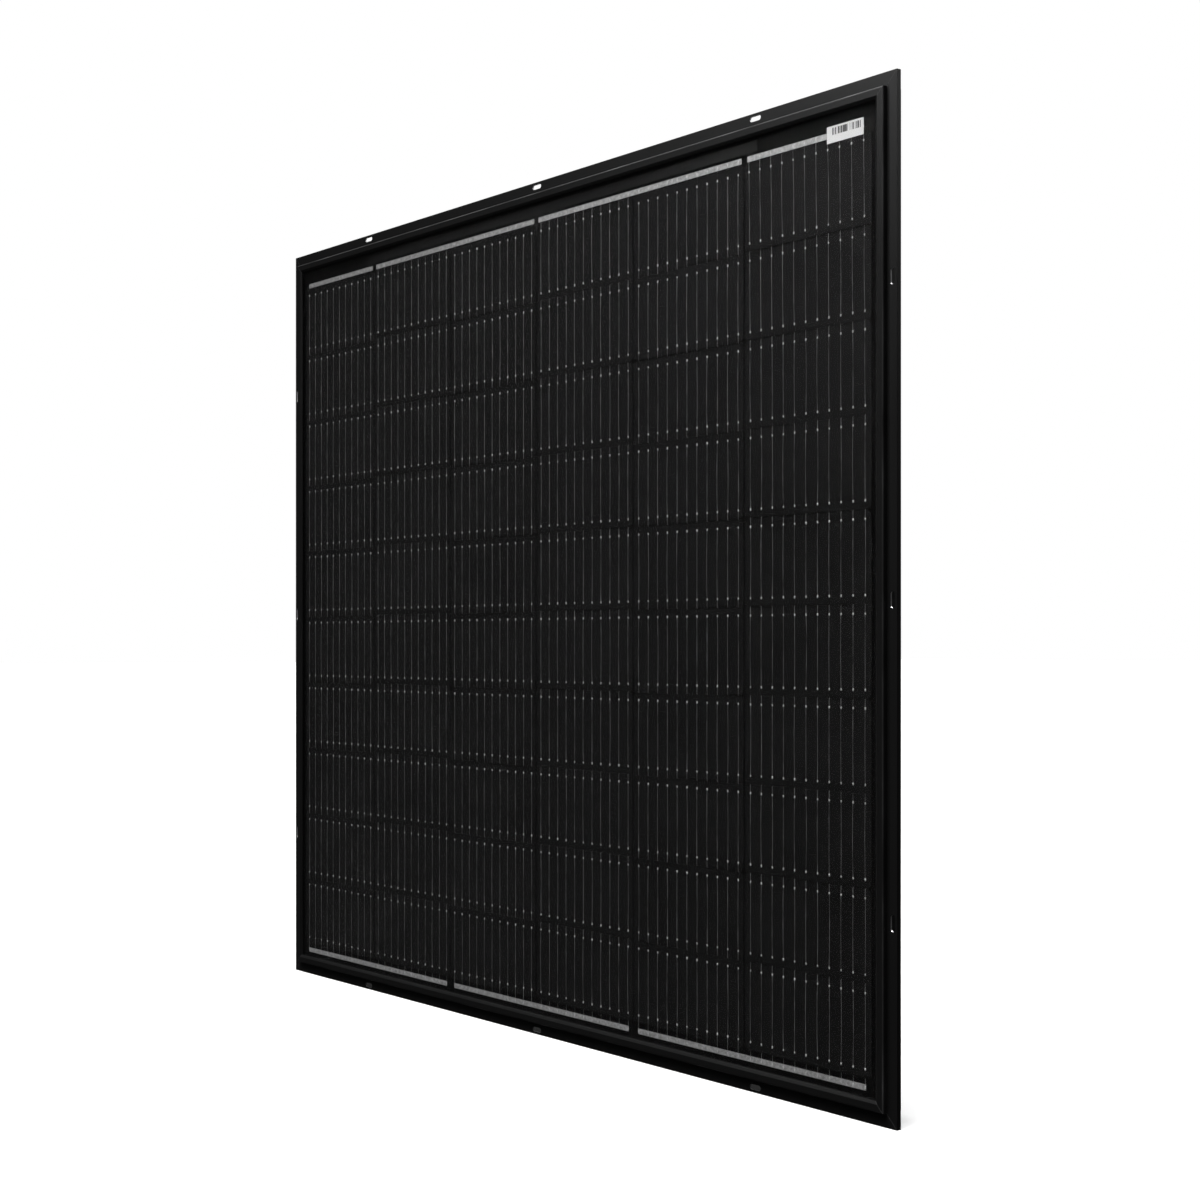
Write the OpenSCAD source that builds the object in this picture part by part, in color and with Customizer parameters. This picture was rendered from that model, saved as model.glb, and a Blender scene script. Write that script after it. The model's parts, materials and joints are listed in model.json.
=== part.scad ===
// Framed solar panel of half-cut cells: a laminate in a four-piece frame with a slotted outer
// flange, and a junction box behind it.
// X runs across the panel, +Y towards its rear and +Z up. The origin is the centre of the slot
// pattern, in the plane of the flange's front face. Depths are measured back from the bezel.

/* [Panel] */
// Width over the outer flange
panel_w = 1168; // [1168:1:1200]
// Height over the outer flange
panel_h = 1013; // [1013:1:1040]
// Depth of the frame, from the bezel's face to the rear
frame_d = 25; // [25:0.5:35]

/* [Frame profile] */
// Width of the slotted outer flange
flange_w = 13.6; // [13:0.2:15]
// How far the flange's face lies behind the bezel's
flange_set = 5.2; // [4.8:0.2:6]
// Thickness of the profile's walls
wall = 1.5; // [1.2:0.1:1.6]
// Depth of the lip turned back from the flange's outer edge
lip_d = 5.2; // [4:0.2:6]
// Width of the bezel, from the outer web to its inner edge
bezel_w = 10.9; // [10.5:0.1:11.5]
// Width of the slope at the bezel's inner edge
bezel_slope_w = 2.9; // [1.5:0.1:3.5]
// Rounding of the bezel's outer edge
bezel_r = 2; // [0.5:0.1:2.5]
// Width of the hollow chamber, walls included
chamber_w = 12.4; // [12:0.1:13]
// Width of the rear flange, from the outer web
rear_flange_w = 20; // [18:0.5:20]
// Gap at each mitred corner
mitre_gap = 0.15; // [0.1:0.05:0.3]

/* [Slots and holes] */
// Length of a slot, end to end
slot_l = 16.5; // [12:0.5:20]
// Width of a slot
slot_w = 5.5; // [5:0.1:6]
// Distance from the flange's outer edge to a slot's centre
slot_edge = 5.5; // [5:0.1:6]
// Distance from the end of a top or bottom rail to its outer slots
slot_end_x = 200; // [150:1:250]
// Distance from the end of a side rail to its outer slots
slot_end_z = 197; // [150:1:250]
// Diameter of a grounding hole
ground_d = 4.2; // [3.5:0.1:4.5]
// Distance between the two grounding holes of a side rail
ground_pitch = 240; // [200:5:350]

/* [Laminate] */
// Distance from the panel's outer edge to the edge of the glass
glass_inset = 17; // [16.5:0.1:17.5]
// How far the glass lies behind the bezel's face
glass_set = 2.4; // [2.2:0.1:3]
// Thickness of the glass
glass_t = 3.2; // [3:0.1:4]
// Thickness of each sheet of encapsulant
film_t = 0.2; // [0.2:0.05:0.3]
// Thickness of the backsheet
backsheet_t = 0.3; // [0.2:0.05:0.4]
// Thickness of the seal over each face of the laminate
seal_t = 0.6; // [0.4:0.1:0.8]
// How far the encapsulant's rim reaches in from the panel's outer edge
rim_inset = 27.5; // [26.5:0.1:28]

/* [Cells] */
// Number of strings, side by side
columns = 6; // [6]
// Number of half cells in a string
rows = 10; // [10]
// Width of a half cell
cell_w = 182; // [180:0.5:183]
// Height of a half cell
cell_h = 91; // [90:0.5:91]
// Distance between strings, centre to centre
column_pitch = 184; // [183.5:0.1:184]
// Distance between cells of a string, centre to centre
row_pitch = 92; // [91.8:0.1:92]
// Thickness of a cell and of the ribbons beside it
cell_t = 0.2; // [0.18:0.01:0.22]
// Leg of the corner cut off a wafer
cell_chamfer = 4; // [2:0.5:8]
// Distance from the panel's top edge to the first row of cells
field_top = 51; // [51:0.5:52]

/* [Wires and ribbons] */
// Number of wires across a cell
wires = 11; // [5:1:16]
// Distance between wires
wire_pitch = 16.5; // [10:0.5:16.5]
// Width and thickness of a wire
wire_t = 0.26; // [0.22:0.01:0.3]
// How far from the cell's edge a wire starts
wire_start = 8; // [4:0.5:12]
// Width of a ribbon
ribbon_w = 6; // [4:0.5:6]
// Distance from the panel's top edge to the upper ribbons
ribbon_top = 43; // [42:0.5:43]
// Distance from the panel's bottom edge to the lower ribbons
ribbon_bottom = 31; // [29:0.5:31]
// Gap from an upper ribbon's inner end to the boundary between strings
ribbon_gap = 4.4; // [2:0.1:5]
// How far the other ends of the ribbons run past the outermost wire
ribbon_past = 1; // [0.5:0.5:4]

/* [Leads behind the top edge] */
// Distance from the panel's top edge to the jumpers
jumper_top = 30; // [29:0.5:30]
// Distance between the leads and terminals in the junction box
lead_pitch = 22; // [20:0.5:22]
// Distance from the panel's top edge to where the leads turn to the rear
lead_turn = 60; // [60]
// Thickness of the film that insulates the leads
patch_t = 0.1; // [0.05:0.01:0.15]

/* [Labels] */
// Width of the serial label under the glass
serial_w = 50.6; // [40:0.5:51]
// Height of the serial label
serial_h = 16.7; // [12:0.1:17]
// Width of the rating label on the backsheet
rating_w = 100; // [60:1:140]
// Height of the rating label
rating_h = 65; // [40:1:90]
// Distance from the panel's top edge to the rating label
rating_top = 150; // [140:1:400]

/* [Junction box] */
// Width of the box
box_w = 110; // [110:1:120]
// Height of the box, along the panel
box_h = 60; // [60:1:66]
// Distance from the panel's top edge to the box
box_top = 48; // [48:0.5:50]
// Depth of the base
box_d = 13.9; // [13.5:0.1:14]
// Thickness of the base's walls
box_wall = 3; // [2.8:0.1:3]
// Thickness of the base's floor and of the lid
box_floor = 2; // [1.5:0.1:2]
// Radius of the box's corners inside
box_r = 2.5; // [2.4:0.1:4]
// Thickness of the adhesive under the box
glue_t = 0.8; // [0.5:0.1:0.8]
// Radius of the hole for a cable in its seal
inlet_r = 3.1; // [2.5:0.1:3.2]

/* [Hidden] */
$fn = 48;

half_w = panel_w / 2;
half_h = panel_h / 2;

// Depths behind the bezel's face, from front to rear
glass_rear = glass_set + glass_t;
wire_front = glass_rear + film_t;
cell_front = wire_front + wire_t;
cell_rear = cell_front + cell_t;
wire_rear = cell_rear + wire_t;
lead_front = wire_rear + patch_t;
lead_rear = lead_front + cell_t;
sheet_front = lead_rear + film_t;
sheet_rear = sheet_front + backsheet_t;
channel_front = glass_set - seal_t;
channel_rear = sheet_rear + seal_t;
base_front = sheet_rear + glue_t;
base_rear = base_front + box_d;
floor_rear = base_front + box_floor;

// Distances in from the panel's outer edge
web_in = flange_w + wall;
bezel_end = flange_w + bezel_w;
chamber_end = flange_w + chamber_w;
rear_flange_end = flange_w + rear_flange_w;
ground_in = (chamber_end + rear_flange_end) / 2;
seal_back = 1;
seal_end = bezel_end - seal_back;

// The bezel's inner edge, the corner keys and the mitre
bezel_edge_t = 0.4;
bezel_step = 15;
key_clearance = 0.2;
key_leg = 45;
key_wall = 2;
mitre_reach = 60;

// The cell field and its wires
field_z = half_h - field_top;
field_h = (rows - 1) * row_pitch + cell_h;
cell_gap = row_pitch - cell_h;
wire_end = cell_h - wire_start;
top_tail = field_top - ribbon_top;
bottom_tail = panel_h - field_top - field_h - ribbon_bottom;
first_wire = (column_pitch - (wires - 1) * wire_pitch) / 2;

// The insulating films and the window for the leads
strip_over = 2;
strip_past = 20;
strip_t = 0.15;
patch_w = 120;
patch_start = 38;
patch_end = 66;
window_side = 2;
window_w = 4 * lead_pitch - 2 * window_side;
window_h = 5;
base_window_h = 8;
serial_x = 490.2;
serial_top = 37.2;
label_t = 0.15;

// The junction box
box_bottom_z = half_h - box_top - box_h;
glue_inset = 1;
glue_bead = 5.5;
lid_gap = 0.1;
groove_in = 0.9;
groove_out = 2.1;
groove_d = 1;
groove_fit = 0.1;
skirt_gap = 0.3;
skirt_t = 1.2;
skirt_d = 2.5;
notch_w = 12;
notch_d = 1;
terminal_w = 16;
terminal_t = 1;
terminal_start = 64.5;
terminal_end = 96;
clamp_start = 68;
clamp_end = 73;
clamp_w = 11;
clamp_t = 0.8;
crimp_start = 89;
crimp_gap = 5;
crimp_d = 3;
diode_start = 78;
diode_end = 86;
diode_w = 9;
diode_d = 3.5;
foot_t = 0.4;
foot_reach = 2.7;
foot_in = 2;
gland_x = 1.5 * lead_pitch;
gland_lift = 0.9;
gland_depth = (sheet_rear + frame_d) / 2 - gland_lift;
gland_bore_r = 4;
gland_tube_r = 5;
gland_hex_r = 6.8;
gland_hex_h = 3;
gland_tube_l = 10;
gland_fit = 0.1;
gland_seal_l = 8;
nut_r = 7.2;
nut_l = 11.5;
nut_end_t = 2;
nut_hole_r = 3.4;

// A box between two places across, two heights and two depths
module slab(x0, x1, z0, z1, d0, d1) {
    translate([x0, d0 - flange_set, z0])
        cube([x1 - x0, d1 - d0, z1 - z0]);
}

// The same, with the heights given as distances down from the panel's top edge
module top_slab(x0, x1, from_top, to_top, d0, d1) {
    slab(x0, x1, half_h - to_top, half_h - from_top, d0, d1);
}

// A sheet that follows the panel's outline at a distance in from its outer edge
module inset_slab(inset, d0, d1) {
    slab(inset - half_w, half_w - inset, inset - half_h, half_h - inset, d0, d1);
}

// Gives a flat shape in X and Z its place and thickness in depth
module plate(d0, d1) {
    translate([0, d1 - flange_set, 0])
        rotate([90, 0, 0])
            linear_extrude(d1 - d0)
                children();
}

module round_rect(w, h, r) {
    square([w - 2 * r, h], center = true);
    square([w, h - 2 * r], center = true);
    for (x = [-1, 1], y = [-1, 1])
        translate([x * (w / 2 - r), y * (h / 2 - r)])
            circle(r);
}

// Frame: distance in from the outer edge, and depth
module rail_profile() {
    rounded_edge = [
        for (a = [0:bezel_step:90])
            [flange_w + bezel_r * (1 - sin(a)), bezel_r * (1 - cos(a))]
    ];
    difference() {
        polygon(concat(
            [
                [0, flange_set],
                [0, flange_set + lip_d],
                [wall, flange_set + lip_d],
                [wall, flange_set + wall],
                [flange_w, flange_set + wall],
                [flange_w, frame_d],
                [rear_flange_end, frame_d],
                [rear_flange_end, frame_d - wall],
                [chamber_end, frame_d - wall],
                [chamber_end, channel_rear],
                [web_in, channel_rear],
                [web_in, channel_front],
                [bezel_end, channel_front],
                [bezel_end, channel_front - bezel_edge_t],
                [bezel_end - bezel_slope_w, 0]
            ],
            rounded_edge,
            [[flange_w, flange_set]]
        ));
        translate([web_in, channel_rear + wall])
            square([chamber_w - 2 * wall, frame_d - channel_rear - 2 * wall]);
    }
}

module slot_cut() {
    cut_d = 4 * wall;
    straight = slot_l - slot_w;
    cube([straight, cut_d, slot_w], center = true);
    for (side = [-1, 1])
        translate([side * straight / 2, 0, 0])
            rotate([90, 0, 0])
                cylinder(r = slot_w / 2, h = cut_d, center = true);
}

// A rail along X with its outer edge at z = 0
module rail(length, slots, holes) {
    end = length / 2 - mitre_gap / 2;
    difference() {
        intersection() {
            translate([0, -flange_set, 0])
                rotate([0, -90, 0])
                    linear_extrude(length, center = true)
                        rail_profile();
            rotate([90, 0, 0])
                linear_extrude(4 * frame_d, center = true)
                    polygon([
                        [-end, 0],
                        [end, 0],
                        [end - mitre_reach, mitre_reach],
                        [mitre_reach - end, mitre_reach]
                    ]);
        }
        for (x = slots)
            translate([x, wall / 2, slot_edge])
                slot_cut();
        for (x = holes)
            translate([x, frame_d - flange_set - wall / 2, ground_in])
                rotate([90, 0, 0])
                    cylinder(d = ground_d, h = 4 * wall, center = true);
    }
}

module long_rail() {
    slot_x = half_w - slot_end_x;
    color("#1c1c1f")
        translate([0, 0, -half_h])
            rail(panel_w, [-slot_x, 0, slot_x], []);
}

module side_rail() {
    slot_z = half_h - slot_end_z;
    color("#1c1c1f")
        translate([0, 0, -half_w])
            rail(panel_h, [-slot_z, 0, slot_z], [-ground_pitch / 2, ground_pitch / 2]);
}

module frame_bottom() long_rail();

module frame_top() rotate([0, 180, 0]) long_rail();

module frame_left() rotate([0, 90, 0]) side_rail();

module frame_right() rotate([0, -90, 0]) side_rail();

// Corner key: an angle that fills the chambers of two rails, in the bottom left corner
module corner_key() {
    start = web_in + key_clearance;
    leg_w = chamber_w - 2 * wall - 2 * key_clearance;
    pocket_start = leg_w + key_wall;
    pocket_l = key_leg - pocket_start - key_wall;
    pocket_w = leg_w - 2 * key_wall;
    color("silver")
        translate([start - half_w, 0, start - half_h])
            plate(channel_rear + wall + key_clearance, frame_d - wall - key_clearance)
                difference() {
                    union() {
                        square([key_leg, leg_w]);
                        square([leg_w, key_leg]);
                    }
                    translate([pocket_start, key_wall])
                        square([pocket_l, pocket_w]);
                    translate([key_wall, pocket_start])
                        square([pocket_w, pocket_l]);
                }
}

module corner_key_bottom_left() corner_key();

module corner_key_bottom_right() mirror([1, 0, 0]) corner_key();

module corner_key_top_left() mirror([0, 0, 1]) corner_key();

module corner_key_top_right() mirror([0, 0, 1]) mirror([1, 0, 0]) corner_key();

// Seal: a channel of silicone round the laminate's edge
module edge_seal() {
    color("#101012")
        difference() {
            inset_slab(web_in, channel_front, channel_rear);
            inset_slab(seal_end, channel_front - 1, channel_rear + 1);
            inset_slab(glass_inset, glass_set, sheet_rear);
        }
}

module front_glass() {
    color([0.75, 0.85, 0.88, 0.35])
        inset_slab(glass_inset, glass_set, glass_rear);
}

// The front film has a window for the serial label, and a rim that closes the laminate's edge
module front_encapsulant() {
    color([0.9, 0.92, 0.95, 0.3]) {
        difference() {
            inset_slab(glass_inset, glass_rear, lead_rear);
            inset_slab(rim_inset, wire_front, lead_rear + 1);
            top_slab(
                serial_x, serial_x + serial_w, serial_top, serial_top + serial_h,
                glass_rear - 1, wire_front + 1
            );
        }
    }
}

module lead_window(h, d0, d1) {
    top_slab(-window_w / 2, window_w / 2, lead_turn - h / 2, lead_turn + h / 2, d0, d1);
}

module rear_encapsulant() {
    color([0.9, 0.92, 0.95, 0.3])
        difference() {
            inset_slab(glass_inset, lead_rear, sheet_front);
            lead_window(window_h, lead_rear - 1, sheet_front + 1);
        }
}

module backsheet() {
    color("#17171a")
        difference() {
            inset_slab(glass_inset, sheet_front, sheet_rear);
            lead_window(window_h, sheet_front - 1, sheet_rear + 1);
        }
}

// A half cell with its upper or its lower corners cut, from its upper left corner
module half_cell(cut_top) {
    c = cell_chamfer;
    a = cut_top ? c : 0;
    b = c - a;
    plate(cell_front, cell_rear)
        polygon([
            [a, 0], [cell_w - a, 0], [cell_w, -a], [cell_w, b - cell_h],
            [cell_w - b, -cell_h], [b, -cell_h], [0, b - cell_h], [0, -a]
        ]);
}

function column_x(c) = (c - 1 - columns / 2) * column_pitch;

module cell_string(c) {
    color("#14161c")
        for (r = [0:rows - 1])
            translate([
                column_x(c) + (column_pitch - cell_w) / 2, 0, field_z - r * row_pitch
            ])
                half_cell(r % 2 == 0);
}

module cell_string_1() cell_string(1);

module cell_string_2() cell_string(2);

module cell_string_3() cell_string(3);

module cell_string_4() cell_string(4);

module cell_string_5() cell_string(5);

module cell_string_6() cell_string(6);

// A wire's outline, drawn as distance along its string and depth, given its width across
module wire_run(points) {
    translate([-wire_t / 2, -flange_set, 0])
        rotate([0, 90, 0])
            linear_extrude(wire_t)
                polygon(points);
}

// The wire from the front of one cell to the rear of the next one
module joggled_wire() {
    wire_run([
        [wire_start, wire_front], [cell_h, wire_front],
        [row_pitch, cell_rear], [row_pitch + wire_end, cell_rear],
        [row_pitch + wire_end, wire_rear], [row_pitch, wire_rear],
        [cell_h, cell_front], [wire_start, cell_front]
    ]);
}

module straight_wire(from, to, front) {
    wire_run([
        [from, front], [to, front], [to, front + wire_t], [from, front + wire_t]
    ]);
}

// Odd strings run down from the upper ribbons, and even ones up from the lower ribbons
module string_wires(c) {
    down = c % 2 == 1;
    tail_in = down ? top_tail : bottom_tail;
    tail_out = down ? bottom_tail : top_tail;
    last = (rows - 1) * row_pitch;
    color("#c9ccd0")
        translate([column_x(c), 0, down ? field_z : field_z - field_h])
            mirror([0, 0, down ? 0 : 1])
                for (i = [0:wires - 1])
                    translate([first_wire + i * wire_pitch, 0, 0]) {
                        straight_wire(-tail_in, wire_end, cell_rear);
                        for (r = [0:rows - 2])
                            translate([0, 0, -r * row_pitch])
                                joggled_wire();
                        straight_wire(last + wire_start, last + cell_h + tail_out, wire_front);
                    }
}

module wires_1() string_wires(1);

module wires_2() string_wires(2);

module wires_3() string_wires(3);

module wires_4() string_wires(4);

module wires_5() string_wires(5);

module wires_6() string_wires(6);

// A ribbon that joins the wires of a first and a last string
module ribbon(first, last, z, inner) {
    outer = first_wire - ribbon_past;
    x0 = column_x(first) + (first == 1 ? outer : inner);
    x1 = column_x(last + 1) - (last == columns ? outer : inner);
    color("#c4c7cb")
        slab(x0, x1, z, z + ribbon_w, cell_front, cell_rear);
}

module ribbon_top(first, last) {
    ribbon(first, last, half_h - ribbon_top - ribbon_w, ribbon_gap);
}

module ribbon_bottom(first, last) {
    ribbon(first, last, ribbon_bottom - half_h, first_wire - ribbon_past);
}

module ribbon_top_1() ribbon_top(1, 1);

module ribbon_top_2() ribbon_top(2, 3);

module ribbon_top_3() ribbon_top(4, 5);

module ribbon_top_4() ribbon_top(6, 6);

module ribbon_bottom_1() ribbon_bottom(1, 2);

module ribbon_bottom_2() ribbon_bottom(3, 4);

module ribbon_bottom_3() ribbon_bottom(5, 6);

// The part of a lead that turns behind the cells, through the backsheet and onto its terminal
module lead_tail(x) {
    a = x - ribbon_w / 2;
    b = x + ribbon_w / 2;
    jumper_end = jumper_top + ribbon_w;
    seat = floor_rear + terminal_t;
    top_slab(a, b, jumper_top, jumper_end, cell_front, lead_rear);
    top_slab(a, b, jumper_top, lead_turn, lead_front, lead_rear);
    top_slab(a, b, lead_turn - cell_t, lead_turn, lead_front, seat + cell_t);
    top_slab(a, b, lead_turn - cell_t, clamp_end, seat, seat + cell_t);
}

// An outer lead starts with a jumper along the top margin, on the left half of the panel
module outer_lead() {
    start = column_x(2) - ribbon_gap - ribbon_w;
    x = -1.5 * lead_pitch;
    jumper_end = jumper_top + ribbon_w;
    color("#c4c7cb") {
        top_slab(start, start + ribbon_w, jumper_top, ribbon_top, cell_front, cell_rear);
        top_slab(start, x, jumper_top, jumper_end, cell_front, cell_rear);
        lead_tail(x);
    }
}

module inner_lead() {
    x = -lead_pitch / 2;
    a = x - ribbon_w / 2;
    color("#c4c7cb") {
        top_slab(a, a + ribbon_w, jumper_top, ribbon_top, cell_front, cell_rear);
        lead_tail(x);
    }
}

module lead_1() outer_lead();

module lead_2() inner_lead();

module lead_3() mirror([1, 0, 0]) inner_lead();

module lead_4() mirror([1, 0, 0]) outer_lead();

module insulation_strip() {
    reach = column_pitch * 2 + strip_past;
    color("#17171a")
        top_slab(
            -reach, reach, jumper_top - strip_over, jumper_top + ribbon_w + 2 * strip_over,
            cell_front - strip_t, cell_front
        );
}

module insulation_patch() {
    color("#17171a")
        top_slab(-patch_w / 2, patch_w / 2, patch_start, patch_end, wire_rear, lead_front);
}

module serial_label() {
    color("white")
        top_slab(
            serial_x, serial_x + serial_w, serial_top, serial_top + serial_h,
            glass_rear, glass_rear + label_t
        );
}

module rating_label() {
    color("#b9bbbd")
        top_slab(
            -rating_w / 2, rating_w / 2, rating_top, rating_top + rating_h,
            sheet_rear, sheet_rear + label_t
        );
}

// Moves a flat shape to the junction box's centre
module at_box() translate([0, 0, half_h - box_top - box_h / 2]) children();

// The box's outline, at a distance out from the cavity
module box_outline(out) {
    inner = 2 * (out - box_wall);
    round_rect(box_w + inner, box_h + inner, box_r + out);
}

module junction_box_base() {
    color("#151517")
        difference() {
            at_box()
                plate(base_front, base_rear)
                    box_outline(box_wall);
            at_box()
                plate(floor_rear, base_rear + 1)
                    box_outline(0);
            at_box()
                plate(base_rear - groove_d, base_rear + 1)
                    difference() {
                        box_outline(groove_out);
                        box_outline(groove_in);
                    }
            lead_window(base_window_h, base_front - 1, floor_rear + 1);
            for (side = [-1, 1])
                translate([side * gland_x, gland_depth - flange_set, box_bottom_z])
                    cylinder(r = gland_tube_r + gland_fit, h = 4 * box_wall, center = true);
        }
}

module junction_box_adhesive() {
    color("#2a2a2c")
        at_box()
            plate(sheet_rear, base_front)
                difference() {
                    box_outline(box_wall - glue_inset);
                    round_rect(box_w - 2 * glue_bead, box_h - 2 * glue_bead, glue_inset);
                }
}

module junction_box_seal() {
    color("#2c2d30")
        at_box()
            plate(base_rear - groove_d, base_rear + lid_gap)
                difference() {
                    box_outline(groove_out - groove_fit);
                    box_outline(groove_in + groove_fit);
                }
}

module junction_box_lid() {
    lid_front = base_rear + lid_gap;
    lid_rear = lid_front + box_floor;
    color("#18181a")
        difference() {
            at_box() {
                plate(lid_front, lid_rear)
                    box_outline(box_wall);
                plate(lid_front - skirt_d, lid_front)
                    difference() {
                        box_outline(-skirt_gap);
                        box_outline(-skirt_gap - skirt_t);
                    }
            }
            for (side = [0, 1])
                top_slab(
                    -notch_w / 2, notch_w / 2,
                    box_top + side * (box_h - notch_d), box_top + notch_d + side * (box_h - notch_d),
                    lid_front - lid_gap, lid_front + box_floor / 2
                );
        }
}

// A terminal plate with a clamp over the lead, and a crimp where it takes an output cable
module terminal(k) {
    x = (k - 2.5) * lead_pitch;
    seat = floor_rear + terminal_t;
    clamp_top = seat + cell_t + clamp_t;
    color("#c08a4a") {
        top_slab(
            x - terminal_w / 2, x + terminal_w / 2, terminal_start, terminal_end,
            floor_rear, seat
        );
        difference() {
            top_slab(
                x - clamp_w / 2, x + clamp_w / 2, clamp_start, clamp_end,
                seat, clamp_top
            );
            top_slab(
                x - ribbon_w / 2, x + ribbon_w / 2, clamp_start - 1, clamp_end + 1,
                seat, seat + cell_t
            );
        }
        if (k == 1 || k == 4)
            for (side = [-1, 1])
                translate([side * (crimp_gap + clamp_t) / 2, 0, 0])
                    top_slab(
                        x - clamp_t / 2, x + clamp_t / 2, crimp_start, terminal_end,
                        seat, seat + crimp_d
                    );
    }
}

module terminal_1() terminal(1);

module terminal_2() terminal(2);

module terminal_3() terminal(3);

module terminal_4() terminal(4);

// A bypass diode that sits across two neighbouring terminals
module diode(k) {
    x = (k - 2) * lead_pitch;
    seat = floor_rear + terminal_t;
    foot_x = diode_w / 2 + foot_reach;
    color("#202024") {
        top_slab(x - diode_w / 2, x + diode_w / 2, diode_start, diode_end, seat, seat + diode_d);
        top_slab(
            x - foot_x, x + foot_x, diode_start + foot_in, diode_end - foot_in,
            seat, seat + foot_t
        );
    }
}

module diode_1() diode(1);

module diode_2() diode(2);

module diode_3() diode(3);

// Moves a gland piece, drawn along -Z from the box's lower side, to the left or right inlet
module at_gland(side) {
    translate([side * gland_x, gland_depth - flange_set, box_bottom_z])
        children();
}

module gland_body(side) {
    color("#151517")
        at_gland(side)
            difference() {
                union() {
                    cylinder(r = gland_tube_r, h = box_wall);
                    translate([0, 0, -gland_hex_h])
                        cylinder(r = gland_hex_r, h = gland_hex_h, $fn = 6);
                    translate([0, 0, -gland_hex_h - gland_tube_l])
                        cylinder(r = gland_tube_r, h = gland_tube_l);
                }
                translate([0, 0, -2 * gland_tube_l])
                    cylinder(r = gland_bore_r, h = 4 * gland_tube_l);
            }
}

module gland_seal(side) {
    color("#2c2d30")
        at_gland(side)
            translate([0, 0, -gland_hex_h - gland_tube_l])
                difference() {
                    cylinder(r = gland_bore_r - gland_fit, h = gland_seal_l);
                    translate([0, 0, -1])
                        cylinder(r = inlet_r, h = gland_seal_l + 2);
                }
}

module gland_nut(side) {
    nut_z = -gland_hex_h - gland_tube_l - nut_end_t - 2 * gland_fit;
    color("#151517")
        at_gland(side)
            translate([0, 0, nut_z])
                difference() {
                    cylinder(r = nut_r, h = nut_l, $fn = 6);
                    translate([0, 0, nut_end_t])
                        cylinder(r = gland_tube_r + gland_fit, h = nut_l);
                    translate([0, 0, -1])
                        cylinder(r = nut_hole_r, h = nut_l);
                }
}

module gland_body_left() gland_body(-1);

module gland_body_right() gland_body(1);

module gland_seal_left() gland_seal(-1);

module gland_seal_right() gland_seal(1);

module gland_nut_left() gland_nut(-1);

module gland_nut_right() gland_nut(1);

frame_top();
frame_bottom();
frame_left();
frame_right();
corner_key_top_left();
corner_key_top_right();
corner_key_bottom_left();
corner_key_bottom_right();
edge_seal();
front_glass();
front_encapsulant();
cell_string_1();
cell_string_2();
cell_string_3();
cell_string_4();
cell_string_5();
cell_string_6();
wires_1();
wires_2();
wires_3();
wires_4();
wires_5();
wires_6();
ribbon_top_1();
ribbon_top_2();
ribbon_top_3();
ribbon_top_4();
ribbon_bottom_1();
ribbon_bottom_2();
ribbon_bottom_3();
lead_1();
lead_2();
lead_3();
lead_4();
insulation_strip();
insulation_patch();
rear_encapsulant();
backsheet();
serial_label();
rating_label();
junction_box_base();
junction_box_adhesive();
junction_box_seal();
junction_box_lid();
terminal_1();
terminal_2();
terminal_3();
terminal_4();
diode_1();
diode_2();
diode_3();
gland_body_left();
gland_body_right();
gland_seal_left();
gland_seal_right();
gland_nut_left();
gland_nut_right();
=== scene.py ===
# %% [markdown]
# A framed solar panel: sixty half-cut cells under glass, in a black frame whose outer flange is
# slotted for bolts, with a junction box on the back. The rails, the cells and the box come ready
# made from the design, in metres. This file gives them their finishes, and adds the small things
# that a plain model lacks: round wires, solder, silicone, ground glass and moulded ribs.

# %% The frame that everything is built around
import json
import math
import random

import bmesh
import bpy
from mathutils import Matrix, Vector


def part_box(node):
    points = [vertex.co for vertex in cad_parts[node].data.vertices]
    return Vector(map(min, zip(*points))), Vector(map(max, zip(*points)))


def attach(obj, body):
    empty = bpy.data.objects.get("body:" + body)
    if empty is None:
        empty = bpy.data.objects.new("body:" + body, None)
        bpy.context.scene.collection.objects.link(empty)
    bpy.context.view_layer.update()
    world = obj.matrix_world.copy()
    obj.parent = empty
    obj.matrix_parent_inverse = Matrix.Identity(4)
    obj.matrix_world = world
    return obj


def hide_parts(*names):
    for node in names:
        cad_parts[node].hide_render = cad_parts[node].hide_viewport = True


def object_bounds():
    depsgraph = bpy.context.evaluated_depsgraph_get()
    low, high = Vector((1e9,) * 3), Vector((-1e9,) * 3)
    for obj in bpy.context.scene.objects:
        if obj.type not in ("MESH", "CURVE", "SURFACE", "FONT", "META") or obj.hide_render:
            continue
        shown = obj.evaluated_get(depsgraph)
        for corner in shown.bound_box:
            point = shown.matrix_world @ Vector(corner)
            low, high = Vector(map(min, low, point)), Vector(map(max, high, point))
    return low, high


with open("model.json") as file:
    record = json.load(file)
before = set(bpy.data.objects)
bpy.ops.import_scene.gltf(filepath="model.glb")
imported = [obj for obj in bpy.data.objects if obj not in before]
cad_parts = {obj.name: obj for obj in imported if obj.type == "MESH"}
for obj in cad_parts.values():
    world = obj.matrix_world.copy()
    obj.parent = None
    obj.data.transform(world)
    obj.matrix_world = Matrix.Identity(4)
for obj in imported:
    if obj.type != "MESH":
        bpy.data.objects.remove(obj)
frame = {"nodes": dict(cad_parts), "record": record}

MM = 0.001
nodes = frame["nodes"]
cad_low, cad_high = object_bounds()
HALF_W = cad_high.x
HALF_H = cad_high.z
print(len(nodes), "parts,", [round((b - a) / MM, 1) for a, b in zip(cad_low, cad_high)], "mm")


# %% [markdown]
# The camera stands a little below the middle of the panel and well to its right, so the panel
# recedes to the left. A lens shift keeps its upright edges upright, which tilting the camera
# would not.

# %% Camera
CAMERA_PLACE = (1.8847, -1.3689, -0.0415)
CAMERA_TURN = 52.163
LENS = 58.75
RISE = 0.03595

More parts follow.
